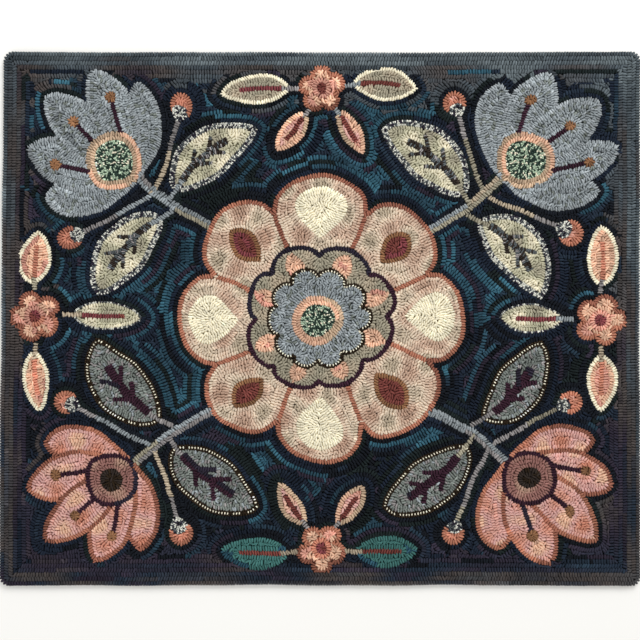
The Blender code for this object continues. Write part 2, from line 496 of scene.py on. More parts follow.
class Plan:
    """The design as areas on the grid: area holds each point's number in wools, and 0 off the rug."""

    GROUND = 1

    def __init__(self, spacing, drawn):
        self.spacing = spacing
        self.wools = [None, "ground"]
        self.lines = []  # rows laid along a drawn line: its points, its area, and whether it closes
        edge = rug_outline()
        self.area = np.where(covered(edge), self.GROUND, 0).astype(np.int16)
        for row, wool in enumerate(EDGE_ROWS):
            number = self.number(wool)
            self.area[(self.area == self.GROUND) & ~covered(inset(edge, (row + 1) * spacing))] = number
            self.lines.append((inset(edge, (row + 0.5) * spacing), number, True))
        for shape in drawn:
            self.draw(shape)
        self.measure()

    def number(self, wool):
        self.wools.append(wool)
        return len(self.wools) - 1

    def draw(self, shape):
        points = np.array(shape.points, float)
        if isinstance(shape, Stroke):
            number, side, cut = self.number(shape.wool), normals(points), WOOLS[shape.wool].cut
            half = side * shape.rows * cut * self.spacing / 2.0
            self.area[covered(np.vstack([points + half, (points - half)[::-1]]))] = number
            for row in range(shape.rows):
                offset = (row - (shape.rows - 1) / 2.0) * cut * self.spacing
                self.lines.append((points + side * offset, number, False))
            return
        inside = covered(points)
        after = np.roll(points, -1, 0)
        turning = (points[:, 0] * after[:, 1] - points[:, 1] * after[:, 0]).sum()
        within = distance_to(~inside, int(len(shape.rims) * self.spacing / CELL) + 2) * CELL
        deep = 0.0
        for wool in shape.rims:
            number, cut = self.number(wool), WOOLS[wool].cut
            self.area[inside] = number
            middle = inset(points, math.copysign(deep + 0.5 * cut * self.spacing, turning))
            self.lines.append((middle, number, True))
            deep += cut * self.spacing
            inside &= within > deep
        self.area[inside] = self.number(shape.fill)

    def measure(self):
        """How deep each point lies in its own area, with the wander of a hand."""
        edge = np.zeros(self.area.shape, bool)
        for axis in (0, 1):
            for way in (1, -1):
                edge |= self.area != np.roll(self.area, way, axis)
        depth = softened(distance_to(edge, int(DEEPEST / CELL)) * CELL + 0.5 * CELL)
        wander = WANDER * drift(GRID_X[None, :], GRID_Y[:, None], WANDER_SIZE, 0.9)
        self.depth = depth + wander * (1.0 - np.exp(-depth / WANDER_START))


# ---- laying the rows ----

FINE = 0.5  # millimetres from point to point of the grid that records where wool already lies
NEAR = 8.0  # millimetres across a square of the list of loops by place
FINE_COLUMNS, FINE_ROWS = (int(round((size + 2.0 * MARGIN) / FINE)) + 1 for size in (WIDTH, DEPTH))
Loop = namedtuple("Loop", "x y heading slant half_pitch half_width area row strip")

CORE = (0.37, 0.40)  # how far the part of a loop that needs room reaches, by its pitch and its width
CROWDED = 0.3  # the share of that part that may already be taken
CROWDED_GAP = 0.6  # and where an odd loop is squeezed into a gap
GAP = 0.95  # millimetres from the middle of a gap to the wool round it, for an odd loop to go in
STRIP_LOOPS = (12, 26)  # the fewest loops of a strip, and one more than the most
SLANT, MOST_SLANT = 0.26, 0.5  # radians that the loops of a strip turn out of their row
STEPS_APART = (0.97, 1.05)  # the shortest and longest step from loop to loop, by the pitch
SLIP = 0.16  # the furthest that a loop slips along its row towards a loop of the next row, by the pitch
GROUND_KEEP, MOTIF_KEEP = 0.6, 0.2  # how much of the way there it goes; the ground's long rows keep in step
SHARPEST = 1.2  # radians that a row may turn from one loop to the next
GENTLEST = 0.35  # millimetres that the depth has to grow by over one, for a row to follow it
ASTRAY = 0.8  # millimetres that a loop may lie off its row


def sample(field, x, y):
    """A grid field, as nested lists, read between its points."""
    across, up = (x - LEFT) / CELL, (y - BOTTOM) / CELL
    i, j = int(across), int(up)
    s, t = across - i, up - j
    low, high = field[j], field[j + 1]
    return (low[i] * (1.0 - s) + low[i + 1] * s) * (1.0 - t) + (high[i] * (1.0 - s) + high[i + 1] * s) * t


def footprint(half_pitch, half_width, step):
    """Points that cover the place a loop takes."""
    u = np.arange(-half_pitch, half_pitch + 0.01, step)
    v = np.arange(-half_width, half_width + 0.01, step)
    return np.stack(np.meshgrid(u, v), -1).reshape(-1, 2)


class Hooking:
    """Lays loops one by one, and knows where wool already lies."""

    def __init__(self, plan, spacing, pitch):
        self.plan = plan
        self.rng = np.random.default_rng(11)
        self.spacing, self.pitch = spacing, pitch
        self.full = footprint(0.5 * pitch, 0.5 * spacing, 0.9 * FINE)
        self.core = footprint(CORE[0] * pitch, CORE[1] * spacing, 2.0 * FINE)
        self.taken = np.zeros((FINE_ROWS, FINE_COLUMNS), bool)
        self.loops = []
        self.near = {}
        self.strip, self.left_in_strip, self.slant = 0, 0, 0.0
        self.area = plan.area.tolist()
        self.depth = plan.depth.tolist()
        self.grains = [grain(wool) for wool in plan.wools]

    def cells(self, x, y, heading, points):
        cos, sin = math.cos(heading), math.sin(heading)
        at_x = x + points[:, 0] * cos - points[:, 1] * sin
        at_y = y + points[:, 0] * sin + points[:, 1] * cos
        return ((at_y - BOTTOM) / FINE + 0.5).astype(int), ((at_x - LEFT) / FINE + 0.5).astype(int)

    def crowding(self, x, y, heading, size):
        """The share of a loop's place here that is taken, for a loop of this size next to the ground's."""
        return float(self.taken[self.cells(x, y, heading, self.core * size)].mean())

    def area_at(self, x, y):
        return self.area[int((y - BOTTOM) / CELL + 0.5)][int((x - LEFT) / CELL + 0.5)]

    def fits(self, x, y, heading, area):
        """Whether a loop of an area has its place here, and finds it free."""
        return self.area_at(x, y) == area and self.crowding(x, y, heading, self.grains[area]) < CROWDED

    def around(self, x, y):
        """The loops near a place."""
        column, line = int(x // NEAR), int(y // NEAR)
        for i in (-1, 0, 1):
            for j in (-1, 0, 1):
                yield from self.near.get((column + i, line + j), ())

    def new_strip(self):
        self.strip += 1
        self.left_in_strip = int(self.rng.integers(*STRIP_LOOPS))
        self.slant = min(max(float(self.rng.normal(0.0, SLANT)), -MOST_SLANT), MOST_SLANT)

    def lay(self, x, y, heading, area, row, shrink=1.0):
        """One loop, of its area's size or smaller."""
        if self.left_in_strip <= 0:
            self.new_strip()
        self.left_in_strip -= 1
        size = shrink * self.grains[area]
        self.taken[self.cells(x, y, heading, self.full * size)] = True
        half_pitch, half_width = 0.5 * np.array((self.pitch, self.spacing)) * size
        loop = Loop(x, y, heading, self.slant, half_pitch, half_width, area, row, self.strip)
        self.loops.append(loop)
        self.near.setdefault((int(x // NEAR), int(y // NEAR)), []).append(loop)

    def follow(self, path, area, closed):
        """Loops along a drawn line, wherever the line's own area still shows."""
        points = np.array(path, float)
        if closed:
            points = np.vstack([points, points[:1]])
        along = np.concatenate([[0.0], np.cumsum(np.linalg.norm(np.diff(points, axis=0), axis=1))])
        count = max(1, int(round(along[-1] / (self.pitch * self.grains[area][0]))))
        places = (np.arange(count) + 0.5) * along[-1] / count
        x, y, ahead_x, ahead_y, behind_x, behind_y = (
            np.interp(places + shift, along, points[:, axis])
            for shift in (0.0, 1.0, -1.0)
            for axis in (0, 1)
        )
        heading = np.arctan2(ahead_y - behind_y, ahead_x - behind_x)
        for at in zip(x.tolist(), y.tolist(), heading.tolist()):
            if self.fits(*at, area):
                self.lay(*at, area, 0)

    def uphill(self, x, y):
        """The unit vector along which the depth grows, and how fast it grows."""
        gx = sample(self.depth, x + 1.0, y) - sample(self.depth, x - 1.0, y)
        gy = sample(self.depth, x, y + 1.0) - sample(self.depth, x, y - 1.0)
        size = math.hypot(gx, gy)
        return (gx / size, gy / size, size / 2.0) if size > 1e-6 else (0.0, 0.0, 0.0)

    def settle(self, x, y, level):
        """The nearest place at this depth, or None where the row cannot run."""
        for _ in range(2):
            gx, gy, slope = self.uphill(x, y)
            if slope < GENTLEST:
                return None
            off = level - sample(self.depth, x, y)
            x, y = x + gx * off, y + gy * off
        if abs(level - sample(self.depth, x, y)) > ASTRAY:
            return None
        gx, gy, _ = self.uphill(x, y)
        return x, y, math.atan2(-gx, gy)

    def out_of_step(self, x, y, heading, pitch, spacing):
        """How far along the row the nearest loop of a neighbouring row lies, within half a pitch."""
        cos, sin = math.cos(heading), math.sin(heading)
        best = 0.5 * pitch
        for other in self.around(x, y):
            dx, dy = other.x - x, other.y - y
            if 0.7 * spacing < abs(dy * cos - dx * sin) < 1.3 * spacing:
                along = dx * cos + dy * sin
                if abs(along) < abs(best):
                    best = along
        return best if abs(best) < 0.5 * pitch else 0.0

    def walk(self, x, y, heading, level, row, area, way):
        """Loops from here on along the row, one way, until it closes, runs out or meets other wool."""
        size = self.grains[area]
        pitch, spacing = float(self.pitch * size[0]), float(self.spacing * size[1])
        keep = GROUND_KEEP if area == Plan.GROUND else MOTIF_KEEP
        while True:
            cos, sin = math.cos(heading), math.sin(heading)
            step = pitch * self.rng.uniform(*STEPS_APART) * way
            slip = keep * self.out_of_step(x + cos * step, y + sin * step, heading, pitch, spacing)
            step += min(max(slip, -SLIP * pitch), SLIP * pitch)
            found = self.settle(x + cos * step, y + sin * step, level)
            if found is None or not self.fits(*found, area):
                return
            if abs((found[2] - heading + math.pi) % (2.0 * math.pi) - math.pi) > SHARPEST:
                return
            x, y, heading = found
            self.lay(x, y, heading, area, row)

    def fill(self):
        """Echoing rows in every area, from its rim inwards, as wide as its wool is cut."""
        cuts = [float(size[1]) for size in self.grains]
        for cut in sorted(set(cuts), reverse=True):
            areas = [number for number, own in enumerate(cuts) if own == cut and number > 0]
            depth = np.where(np.isin(self.plan.area, areas), self.plan.depth, -1.0)
            for row in range(int(depth.max() / (cut * self.spacing)) + 1):
                self.fill_row(depth, (row + 0.5) * cut * self.spacing, row)

    def fill_row(self, depth, level, row):
        """The loops of one row, wherever the areas are as deep as its level."""
        up, across = np.nonzero(np.abs(depth - level) < 0.5)
        for i, j in zip(across.tolist(), up.tolist()):
            x, y = LEFT + i * CELL, BOTTOM + j * CELL
            if self.taken[int((y - BOTTOM) / FINE), int((x - LEFT) / FINE)]:
                continue
            area, found = self.area[j][i], self.settle(x, y, level)
            if found is None or not self.fits(*found, area):
                continue
            self.new_strip()
            self.lay(*found, area, row)
            for way in (1.0, -1.0):
                self.walk(*found, level, row, area, way)

    def beside(self, x, y, area):
        """The row and strip of the nearest loop of the same area."""
        near = [
            ((other.x - x) ** 2 + (other.y - y) ** 2, other.row, other.strip)
            for other in self.around(x, y)
            if other.area == area
        ]
        return min(near)[1:] if near else (0, self.strip)

    def stop_gaps(self):
        """Odd loops in the gaps between rows, the widest gaps first, each like the loop beside it."""
        inside = np.kron(self.plan.area > 0, np.ones((2, 2), bool))[:FINE_ROWS, :FINE_COLUMNS]
        clearance = distance_to(self.taken | ~inside, 8) * FINE
        up, across = np.nonzero(clearance > GAP)
        turns = np.linspace(0.0, math.pi, 6, endpoint=False)
        for at in np.argsort(-clearance[up, across], kind="stable").tolist():
            j, i = int(up[at]), int(across[at])
            x, y = LEFT + i * FINE, BOTTOM + j * FINE
            area = self.area_at(x, y)
            if self.taken[j, i] or area == 0:
                continue
            share, turn = min((self.crowding(x, y, turn, self.grains[area]), turn) for turn in turns)
            if share < CROWDED_GAP:
                row, self.strip = self.beside(x, y, area)
                self.left_in_strip = 1
                self.lay(x, y, turn, area, row, 1.0 - 0.5 * share)

    def hook(self):
        for line in self.plan.lines:
            self.new_strip()
            self.follow(*line)
        self.fill()
        self.stop_gaps()
        return self.loops


# ---- dyes of the loops ----

# The wools of the ground's rows, counted from the motifs: near the bright middle of the rug, and away from
# it. They come round again and again, and a share of the strips takes an odd wool instead.
BRIGHT_ROWS = "ink teal dusk teal teal ink teal navy teal teal heather ink".split()
QUIET_ROWS = ("ink", "navy", "ink", "dusk")
ODD_STRIPS = ("dusk", "teal", "navy", "ink")
ODD_SHARE = 0.12
BRIGHT_MIDDLE = (-90.0, 140.0)
BRIGHT_REACH = 360.0  # millimetres from there to where the ground turns quiet
PATCHES, BANDS = 260.0, 460.0  # millimetres over which its patches and the order of its rows change
BORDER = 62.0  # millimetres from the rug's edge to where the greyer rows end
BESIDE_EDGE = 1.4  # rows of ground along the straight edge rows that aren't inked as those by a motif are
SHORT_STRIP = 7  # a ground strip of fewer loops isn't hooked in the bright wool

# For each blended mix: the millimetres across a patch, how far patches and strips differ, and how much
# lighter the wool is painted from the bottom of the rug to its top, as painted glare of the light at the
# upper right.
Blend = namedtuple("Blend", "across patches strips gain")
BLENDS = {
    "patch": Blend(60.0, 0.42, 0.10, 0.0),
    "band": Blend(150.0, 0.42, 0.45, 0.0),
    "sweep": Blend(210.0, 0.20, 0.14, 0.48),
}
GLARE_SIDEWAYS = 0.2  # the share of that painted glare by which the wool gets lighter from the left to the right
STRIP_TONES, LOOP_TONES = 0.13, 0.10  # how far strips, and the loops of one, differ in depth of dye
CALM = 0.35  # how much of the first is left in wools dyed in patches; the second is eased half as far
TRUE_BEADS = 0.9  # the share of the beads that keep strictly to their two dyes by turns


def ground_wool(row, x, y, odd, spacing):
    """The wool of a ground row: ink next to the motifs, then bands of teal and dark wool by turns."""
    patch = drift(x, y, PATCHES, 2.2)
    inward = min(WIDTH / 2.0 - abs(x), DEPTH / 2.0 - abs(y))
    if row == 0 and inward > (len(EDGE_ROWS) + BESIDE_EDGE) * spacing:
        return "ink"
    if odd > inward / (BORDER * (1.0 + 0.3 * patch)) - 0.3:
        return "border"
    if odd < ODD_SHARE:
        return ODD_STRIPS[int(odd / ODD_SHARE * len(ODD_STRIPS))]
    away = math.hypot(x - BRIGHT_MIDDLE[0], y - BRIGHT_MIDDLE[1]) / BRIGHT_REACH
    rows = BRIGHT_ROWS if away + 0.25 * patch < 1.0 else QUIET_ROWS
    return rows[(row + int(round(2.2 * drift(x, y, BANDS, 0.4)))) % len(rows)]


def dye_pots(dyes):
    """For each wool, where the shares of its dyes end, their middles, and the dyes' colours."""
    pots = {}
    for name, wool in WOOLS.items():
        shares = np.array(list(wool.dyes.values()), float)
        ends = np.cumsum(shares) / shares.sum()
        middles = ends - shares / shares.sum() / 2.0
        pots[name] = (ends, middles, np.array([getattr(dyes, pot) for pot in wool.dyes]))
    return pots


def dyed(loops, plan, dyes):
    """Each loop's wool and its colour."""
    rng = np.random.default_rng(23)
    lengths = np.bincount([loop.strip for loop in loops])
    strips = len(lengths)
    strip_draw, strip_odd, loop_draw = rng.random(strips), rng.random(strips), rng.random(len(loops))
    strip_tone, loop_tone = rng.normal(0.0, STRIP_TONES, strips), rng.normal(0.0, LOOP_TONES, len(loops))
    pots = dye_pots(dyes)
    wools, colours = [], np.zeros((len(loops), 3))
    for at, loop in enumerate(loops):
        name, strip = plan.wools[loop.area], loop.strip
        if name == "ground":
            name = ground_wool(loop.row, loop.x, loop.y, strip_odd[strip], plan.spacing)
            if lengths[strip] < SHORT_STRIP and name == "teal":
                name = "navy"
        mix, (ends, middles, values) = WOOLS[name].mix, pots[name]
        if mix in BLENDS:
            blend = BLENDS[mix]
            # painted light: wools of a sweep mix are drawn lighter towards the rug's top and right, standing
            # for glare of the light
            glare_lift = GLARE_SIDEWAYS * loop.x / WIDTH + loop.y / DEPTH
            draw = 0.5 + blend.patches * drift(loop.x, loop.y, blend.across, len(name))
            draw += blend.strips * (strip_draw[strip] - 0.5) + blend.gain * glare_lift
            colour = [np.interp(draw, middles, channel) for channel in values.T]
        elif mix == "bead" and loop_draw[at] < TRUE_BEADS:
            colour = values[at % 2]
        else:
            draw = strip_draw[strip] if mix == "strip" else loop_draw[at]
            colour = values[min(int(np.searchsorted(ends, draw)), len(values) - 1)]
        calm = CALM if mix == "patch" else 1.0
        tone = calm * strip_tone[strip] + (0.5 + 0.5 * calm) * loop_tone[at]
        colours[at] = np.multiply(colour, math.exp(tone))
        wools.append(name)
    return wools, colours.clip(0.001, 1.0)


WORK = {}  # the loops with their wools and colours, worked out once


def hooked_loops(scene):
    """All the loops of the rug, with each one's wool and colour."""
    if not WORK:
        spacing, pitch = scene.rug_sizes.row_spacing / MM, scene.rug_sizes.loop_pitch / MM
        plan = Plan(spacing, design(scene.rug_sizes.rosette_radius / MM))
        loops = Hooking(plan, spacing, pitch).hook()
        wools, colours = dyed(loops, plan, scene.rug_dyes)
        WORK.update(loops=loops, wools=wools, colours=colours)
    return WORK


# ---- meshes ----

# A loop in section along its row, from one foot over the crown to the other: shares of half its pitch and
# of its rise. The loops of the ground, which are many, have the plainest section. The loops along the rug's
# edge show from the side too, and have the roundest one.
GROUND_SECTION = ((-1.08, 0.15), (-0.62, 0.93), (0.62, 0.93), (1.08, 0.15))
MOTIF_SECTION = ((-1.10, 0.1), (-0.82, 0.69), (0.0, 1.0), (0.82, 0.69), (1.10, 0.1))
ROUND_HALF = ((-0.90, 0.0), (-0.98, 0.5), (-0.74, 0.84), (-0.27, 0.99))
ROUND_SECTION = ROUND_HALF + tuple((-along, up) for along, up in reversed(ROUND_HALF))
RIM_SLACK = 0.4  # how loosely the outermost row is hooked next to the others
# The slices across a loop: its place at the foot and at the crown, and its share of width and of height.
# Those on its other side mirror them. The thicker wools of the motifs leave less of a valley between rows.
INNER = (0.6, 0.58, 1.0, 1.0)
OUTER, FULL_OUTER = (1.0, 0.92, 0.70, 0.87), (1.0, 0.96, 0.76, 0.93)
OVERLAP = 0.24  # how far a loop reaches into the rows beside it, as a share of half its width
SUNK = 0.4  # millimetres that a loop's feet lie below the face of the linen
CLEARANCE = 0.5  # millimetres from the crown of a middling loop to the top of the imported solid
LEAST_RISE, HEADROOM = 0.8, 0.05  # the share of the height over the linen, and millimetres under its top
SWELL, SWELL_SIZE = 0.2, 160.0  # millimetres that the pile rises and falls, and over which it does
BOW, LEAN = 0.30, 0.25  # millimetres that a loop is bent out of its line, and leans over
STRETCH, TURN = 0.05, 0.08  # the share by which it is larger or smaller, and its turn in radians
PAINTED_SHADE_DEEPENING, PAINTED_SHADE_DIMMING = 0.4, 0.2  # painted shade: how much deeper and darker the colour is painted towards a loop's foot, where shade falls between the loops


def loop_form(section, outer):
    """One loop as unit points (along, across, up) and the faces over them; its underside is left open."""
    points = []
    slices = [(-at[0], -at[1]) + at[2:] for at in (outer, INNER)] + [INNER, outer]
    for foot, crown, narrow, low in slices:
        for along, up in section:
            points.append((along * narrow, foot + (crown - foot) * up, up * low))
    count = len(section)
    last = count * (len(slices) - 1)
    faces = [tuple(range(count - 1, -1, -1)), tuple(range(last, last + count))]
    for slice_start in range(0, last, count):
        for at in range(slice_start, slice_start + count - 1):
            faces.append((at, at + 1, at + count + 1, at + count))
    return np.array(points), faces


def build_mesh(name, places, faces):
    """A mesh of many copies of a form, smooth all over: places is (copies, points, 3) in millimetres."""
    repeats, count = places.shape[:2]
    corners = np.array([corner for face in faces for corner in face])
    vertex = (np.arange(repeats)[:, None] * count + corners[None, :]).ravel()
    sizes = np.tile([len(face) for face in faces], repeats)
    mesh = bpy.data.meshes.new(name)
    mesh.vertices.add(repeats * count)
    mesh.vertices.foreach_set("co", (places * MM).astype(np.float32).ravel())
    mesh.loops.add(len(vertex))
    mesh.loops.foreach_set("vertex_index", vertex.astype(np.int32))
    mesh.polygons.add(len(sizes))
    mesh.polygons.foreach_set("loop_start", (np.cumsum(sizes) - sizes).astype(np.int32))
    mesh.update(calc_edges=True)
    mesh.shade_smooth()
    return mesh


MAP_EDGE = 0.005  # the share of the map's side that is left free along it


def add_plan_map(mesh):
    """A UV map straight down on the piece that fills its square, so that a bake keeps each loop."""
    places = np.empty(len(mesh.vertices) * 3, np.float32)
    mesh.vertices.foreach_get("co", places)
    places = places.reshape(-1, 3)[:, :2]
    corner = np.empty(len(mesh.loops), np.int32)
    mesh.loops.foreach_get("vertex_index", corner)
    flat = MAP_EDGE + (1.0 - 2.0 * MAP_EDGE) * (places - places.min(0)) / np.ptp(places, axis=0)
    mesh.uv_layers.new(name="OFBake").uv.foreach_set("vector", flat[corner].astype(np.float32).ravel())


def add_dye_and_shade(mesh, colours):
    """The colour at each point of a mesh, painted shade included."""
    full = np.concatenate([colours, np.ones((len(colours), 1))], 1)
    # the colours kept here include the painted shade of the loops' feet and of the linen between them
    mesh.color_attributes.new("dye", "FLOAT_COLOR", "POINT").data.foreach_set("color", full.ravel())


def add_piece(scene, name, mesh, material):
    """A piece of the rug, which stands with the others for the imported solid."""
    mesh.materials.append(material)
    piece = bpy.data.objects.new(name, mesh)
    scene.collection.objects.link(piece)
    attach(piece, "root")
    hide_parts("hooked_rug")
    return piece


def hook_piece(scene, name, cloth, section=MOTIF_SECTION, slack=1.0):
    """The loops of every wool in a piece, each a little off in size, lean, bow, turn and height."""
    work, sizes = hooked_loops(scene), scene.rug_sizes
    chosen = [at for at, wool in enumerate(work["wools"]) if WOOLS[wool].piece == name]
    rng = np.random.default_rng(chosen[0] + 5)
    count = len(chosen)
    points, faces = loop_form(section, FULL_OUTER if section is MOTIF_SECTION else OUTER)
    fields = ("x", "y", "heading", "slant", "half_pitch", "half_width")
    data = np.array([[getattr(work["loops"][at], field) for field in fields] for at in chosen])
    x, y, heading, slant, half_pitch, half_width = data.T[:, :, None]
    form_along, form_across, form_up = points.T[:, None, :]
    loose = slack * CLOTHS[cloth].loose

    def vary(amount):
        return rng.normal(0.0, amount * loose, (count, 1))

    linen = sizes.linen_height / MM
    room = THICKNESS - linen
    rise = room - CLEARANCE + SWELL * drift(x, y, SWELL_SIZE, 1.1) + vary(sizes.unevenness / MM)
    rise = rise.clip(LEAST_RISE * room, room - HEADROOM)
    bow = vary(BOW) * (form_across**2 - 0.5)
    along = form_along * half_pitch * (1.0 + vary(STRETCH)) + form_up * vary(LEAN) + bow
    wider = 1.0 + OVERLAP * min(loose, 1.0) + vary(STRETCH)
    across = form_across * half_width * wider + form_up * vary(LEAN)
    turn = heading + slant * min(loose, 1.0) + vary(TURN)
    cos, sin = np.cos(turn), np.sin(turn)
    up = linen - SUNK + form_up * (rise + SUNK)
    places = np.stack([x + along * cos - across * sin, y + along * sin + across * cos, up], 2)

    mesh = build_mesh(name, places, faces)
    # painted shade: each point's colour is deepened and darkened the lower it lies on its loop, for the shade
    # between the loops
    shade_at_foot = 1.0 - points[None, :, 2, None]
    colours = work["colours"][chosen][:, None, :]
    colours = colours ** (1.0 + PAINTED_SHADE_DEEPENING * shade_at_foot) * (1.0 - PAINTED_SHADE_DIMMING * shade_at_foot)
    add_dye_and_shade(mesh, colours.reshape(-1, 3))
    add_plan_map(mesh)
    return add_piece(scene, name, mesh, wool_material(cloth))


def spread(edge, columns, rows):
    """A grid of places over the linen, in rings that follow its edge and shrink to its middle."""
    u, v = np.meshgrid(np.linspace(-1.0, 1.0, columns), np.linspace(-1.0, 1.0, rows))
    out = np.maximum(np.abs(u), np.abs(v)).clip(1e-6)
    corners = [int(np.argmax(edge @ way)) for way in ((-1, -1), (1, -1), (1, 1), (-1, 1))]
    places = np.zeros((rows, columns, 2))
    ways = zip(corners, corners[1:] + corners[:1], (-v, u, v, -u), (u, v, -u, -v))
    for start, stop, across, along in ways:
        chain = np.roll(edge, -start, 0)[: (stop - start) % len(edge) + 1]
        length = np.concatenate([[0.0], np.cumsum(np.linalg.norm(np.diff(chain, axis=0), axis=1))])
        side = np.isclose(across, out)
        at = (along[side] / out[side] + 1.0) / 2.0 * length[-1]
        for axis in (0, 1):
            places[side, axis] = np.interp(at, length, chain[:, axis]) * out[side]
    return places


# The linen's edge in section, from its underside to its upper face: how far inside the rug's outline, and
# its height as a share of the linen's. The hem is turned under, so the edge is round.
HEM_SECTION = ((4.0, 0.0), (2.2, 0.05), (1.3, 0.3), (1.2, 0.65), (2.2, 1.0))
LINEN_STEP = 7.5  # millimetres between the points of the linen
LINEN_GAP_SHADE = 0.4  # painted shade: the share of the nearest loop's dye painted on the linen's upper face between the loops, in place of the linen's own colour


def linen_mesh(height):
    """The linen as one closed sheet: a flat underside, the rolled hem round it, and a grid on top."""
    edge = rug_outline()
    columns, rows = (int(size / LINEN_STEP) + 1 for size in (WIDTH, DEPTH))
    number = np.arange(columns * rows).reshape(rows, columns)
    border = np.concatenate([number[0, :-1], number[:-1, -1], number[-1, :0:-1], number[:0:-1, 0]])
    grids = [
        np.dstack([spread(inset(edge, by), columns, rows), np.full((rows, columns), share * height)])
        for by, share in HEM_SECTION
    ]
    rings = [grid.reshape(-1, 3)[border] for grid in grids[:-1]]
    points = np.vstack([grids[-1].reshape(-1, 3)] + rings)
    faces = [
        (number[j, i], number[j, i + 1], number[j + 1, i + 1], number[j + 1, i])
        for j in range(rows - 1)
        for i in range(columns - 1)
    ]
    belts = [columns * rows + at * len(border) + np.arange(len(border)) for at in range(len(rings))]
    faces.append(tuple(belts[0][::-1]))
    for lower, upper in zip(belts, belts[1:] + [border]):
        for at in range(len(border)):
            faces.append((lower[at - 1], lower[at], upper[at], upper[at - 1]))
    return build_mesh("linen_foundation", points[None], faces)


# ---- materials ----


def add_node(tree, kind, settings=None, inputs=None, links=None):
    """Adds a node: its own settings, values for its inputs, and what feeds them."""
    node = tree.nodes.new(kind)
    for key, value in (settings or {}).items():
        setattr(node, key, value)
    for key, value in (inputs or {}).items():
        node.inputs[key].default_value = value
    for key, source in (links or {}).items():
        tree.links.new(source, node.inputs[key])
    return node


def new_material(name):
    material = bpy.data.materials.new(name)
    material.use_nodes = True
    return material, material.node_tree, material.node_tree.nodes["Principled BSDF"]


def finish_cloth(tree, shader, tone, height, strength, distance, roughness):
    """Joins up a cloth: the dye at each point, with the painted shade worked into it, scaled by its tone, and
    a bump over a distance in metres.
    """
    dye_and_shade_at_point = add_node(tree, "ShaderNodeAttribute", {"attribute_name": "dye"})
    scaled = add_node(
        tree,
        "ShaderNodeVectorMath",
        {"operation": "SCALE"},
        links={0: dye_and_shade_at_point.outputs["Color"], "Scale": tone.outputs["Result"]},
    )
    raised = {"Strength": strength, "Distance": distance}
    bump = add_node(tree, "ShaderNodeBump", inputs=raised, links={"Height": height})
    tree.links.new(scaled.outputs["Vector"], shader.inputs["Base Color"])
    tree.links.new(bump.outputs["Normal"], shader.inputs["Normal"])
    shader.inputs["Roughness"].default_value = roughness


# What tells one wool cloth from another: the size in millimetres and depth of its flecks, the size and
# height in millimetres of its nap, and how loosely it is hooked next to plain flannel.
Cloth = namedtuple("Cloth", "fleck depth nap nap_height loose")
CLOTHS = {
    # Fulled flannel, dyed in the pot: one colour, hardly flecked, with a short soft nap.
    "dyed_wool_flannel": Cloth(1.4, 0.16, 0.45, 0.30, 1.0),
    # The same flannel dyed in spots, so the colour clouds over a few loops.
    "spot_dyed_wool_flannel": Cloth(4.0, 0.14, 0.45, 0.30, 1.25),
    # Tweed spun from mixed fleeces: light and dark flecks as large as half a loop, and a rougher face.
    "tweed_wool": Cloth(2.0, 0.36, 0.6, 0.40, 2.1),
    # Boucle yarn, whose curls make each loop knobbly.
    "boucle_wool_yarn": Cloth(1.3, 0.40, 1.1, 0.60, 0.9),
}


def wool_material(name):
    """Dyed wool: matt, with a soft bloom where its fibres catch the light, and colour from the dye with
    painted shade towards each loop's foot.
    """
    if name in bpy.data.materials:
        return bpy.data.materials[name]
    cloth = CLOTHS[name]
    material, tree, shader = new_material(name)
    place = add_node(tree, "ShaderNodeTexCoord").outputs["Object"]
    fleck = add_node(
        tree,
        "ShaderNodeTexNoise",
        inputs={"Scale": 1.0 / (cloth.fleck * MM), "Detail": 2.0, "Roughness": 0.6},
        links={"Vector": place},
    )
    tone = add_node(
        tree,
        "ShaderNodeMapRange",
        inputs={"From Min": 0.3, "From Max": 0.7, "To Min": 1.0 - cloth.depth, "To Max": 1.0 + cloth.depth},
        links={"Value": fleck.outputs["Fac"]},
    )
    nap = add_node(
        tree,
        "ShaderNodeTexNoise",
        inputs={"Scale": 1.0 / (cloth.nap * MM), "Detail": 3.0, "Roughness": 0.65},
        links={"Vector": place},
    )
    finish_cloth(tree, shader, tone, nap.outputs["Fac"], 0.8, cloth.nap_height * MM, 0.95)
    shader.inputs["Specular IOR Level"].default_value = 0.12
    shader.inputs["Sheen Weight"].default_value = 0.03
    shader.inputs["Sheen Roughness"].default_value = 0.4
    return material


THREAD = 1.8  # millimetres between threads; the real 1.5 is drawn a little coarser so that it shows
THREAD_HEIGHT = 0.3  # millimetres
WAVES = 0.314  # the scale at which a wave texture has one band in each metre


def linen_material():
    """Unbleached linen in an open even weave, dull, with painted shadow between its threads and, on its upper
    face, painted shade in the darkened dye of the wool over it.
    """
    material, tree, shader = new_material("woven_linen")
    place = add_node(tree, "ShaderNodeTexCoord").outputs["Object"]
    warp, weft = (
        add_node(
            tree,
            "ShaderNodeTexWave",
            {"bands_direction": way},
            inputs={"Scale": WAVES / (THREAD * MM), "Distortion": 0.5, "Detail": 1.0},
            links={"Vector": place},
        ).outputs["Fac"]
        for way in ("X", "Y")
    )
    weave = add_node(tree, "ShaderNodeMath", {"operation": "MAXIMUM"}, links={0: warp, 1: weft}).outputs[0]
    # painted shadow between the threads: the weave darkens the linen's colour down to 0.45 of it
    tone = add_node(
        tree, "ShaderNodeMapRange", inputs={"To Min": 0.45, "To Max": 1.0}, links={"Value": weave}
    )
    finish_cloth(tree, shader, tone, weave, 0.6, THREAD_HEIGHT * MM, 0.88)
    return material


# ---- operators ----


class RUG_OT_ground(bpy.types.Operator):
    """Hook the dark and teal rows of the ground"""

    bl_idname = "rug.ground"
    bl_label = "Ground"

    def execute(self, context):
        for name in ("ink_ground_loops", "dusk_ground_loops", "navy_ground_loops", "teal_ground_loops"):
            hook_piece(context.scene, name, "dyed_wool_flannel", GROUND_SECTION)
        return {"FINISHED"}


